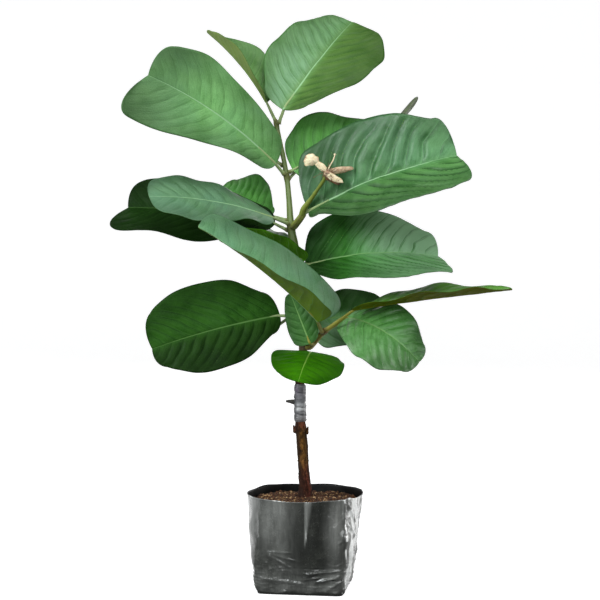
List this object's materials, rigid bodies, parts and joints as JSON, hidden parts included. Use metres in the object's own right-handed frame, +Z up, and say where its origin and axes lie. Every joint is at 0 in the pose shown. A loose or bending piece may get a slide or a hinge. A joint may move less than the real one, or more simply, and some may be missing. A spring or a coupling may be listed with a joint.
{
  "type": "potted guava sapling",
  "caption": "Young grafted guava tree with broad ribbed leaves and a withered flower, standing in a soft black nursery bag of potting mix.",
  "frame": {"origin": "centre of the bag's flat underside, on the surface that the pot stands on", "axes": "+Z up along the trunk; -Y is the front; +X is the right side as seen from the front"},
  "size_m": [0.2992, 0.1847, 0.4391],
  "materials": {
    "bag_film": "black polythene film, glossy and creased",
    "potting_mix": "granular, moist and matte",
    "bark": "rough, flaking, matte",
    "graft_tape": "weathered stretched film with a dull sheen",
    "green_stem": "smooth, satin",
    "olive_stem": "smooth, satin",
    "dried_flower": "papery, matte",
    "leaf": "leathery, satin",
    "young_leaf": "leathery, satin",
    "old_leaf": "leathery, satin"
  },
  "bodies": {
    "root": {"nursery_bag": "bag_film", "potting_mix": "potting_mix", "trunk": "bark", "graft_tape": "graft_tape", "main_shoot": "green_stem", "front_shoot": "olive_stem", "side_shoot": "olive_stem", "withered_flower": "dried_flower", "leaf_top_right": "leaf", "leaf_top_left": "young_leaf", "leaf_upper_left": "young_leaf", "leaf_back_right": "leaf", "leaf_edge_right": "leaf", "leaf_upper_right": "leaf", "leaf_mid_right": "leaf", "leaf_crossing": "old_leaf", "leaf_mid_left": "young_leaf", "leaf_far_left": "old_leaf", "leaf_back_left": "leaf", "leaf_front_left": "young_leaf", "leaf_lower_left": "old_leaf", "leaf_small_front": "leaf", "leaf_bottom_front": "leaf", "leaf_long_right": "old_leaf", "leaf_lower_right": "leaf", "leaf_lower_back": "old_leaf", "leaf_rear_top": "leaf", "leaf_rear_right": "leaf", "leaf_rear_mid": "leaf", "leaf_rear_left": "old_leaf"}
  },
  "joints": []
}
